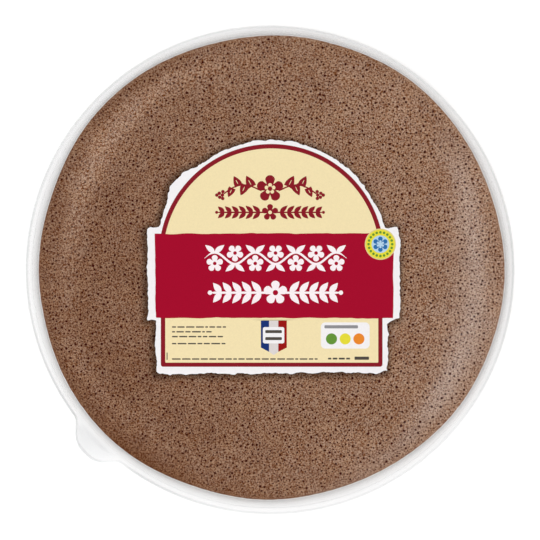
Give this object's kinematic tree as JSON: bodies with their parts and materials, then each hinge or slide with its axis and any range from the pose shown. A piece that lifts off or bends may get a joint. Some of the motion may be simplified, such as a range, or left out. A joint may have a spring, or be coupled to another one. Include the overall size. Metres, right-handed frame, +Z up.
{
  "type": "sealed pack of savoury crepes",
  "caption": "Sealed round clear pack of stacked buckwheat crepes, with a clear lid film, a peel tab and a die-cut paper label.",
  "frame": {"origin": "centre of the tray's flat base, on the axis of its round flange", "axes": "+Z up, out of the lid film; +Y towards the top of the label; +X to the label's right"},
  "size_m": [0.2729, 0.2729, 0.0104],
  "materials": {
    "clear_tray_plastic": "clear thermoformed polyester sheet, glossy",
    "baked_buckwheat": "baked buckwheat batter, matt brown with fine dark pores",
    "clear_lid_film": "clear heat-sealed film, glossy",
    "label_paper": "coated paper with a soft sheen, fibrous white edge"
  },
  "bodies": {
    "root": {"tray": "clear_tray_plastic", "crepe_1": "baked_buckwheat", "crepe_2": "baked_buckwheat", "crepe_3": "baked_buckwheat", "crepe_4": "baked_buckwheat", "crepe_5": "baked_buckwheat", "crepe_6": "baked_buckwheat", "lid_film": "clear_lid_film", "label": "label_paper"}
  },
  "joints": []
}
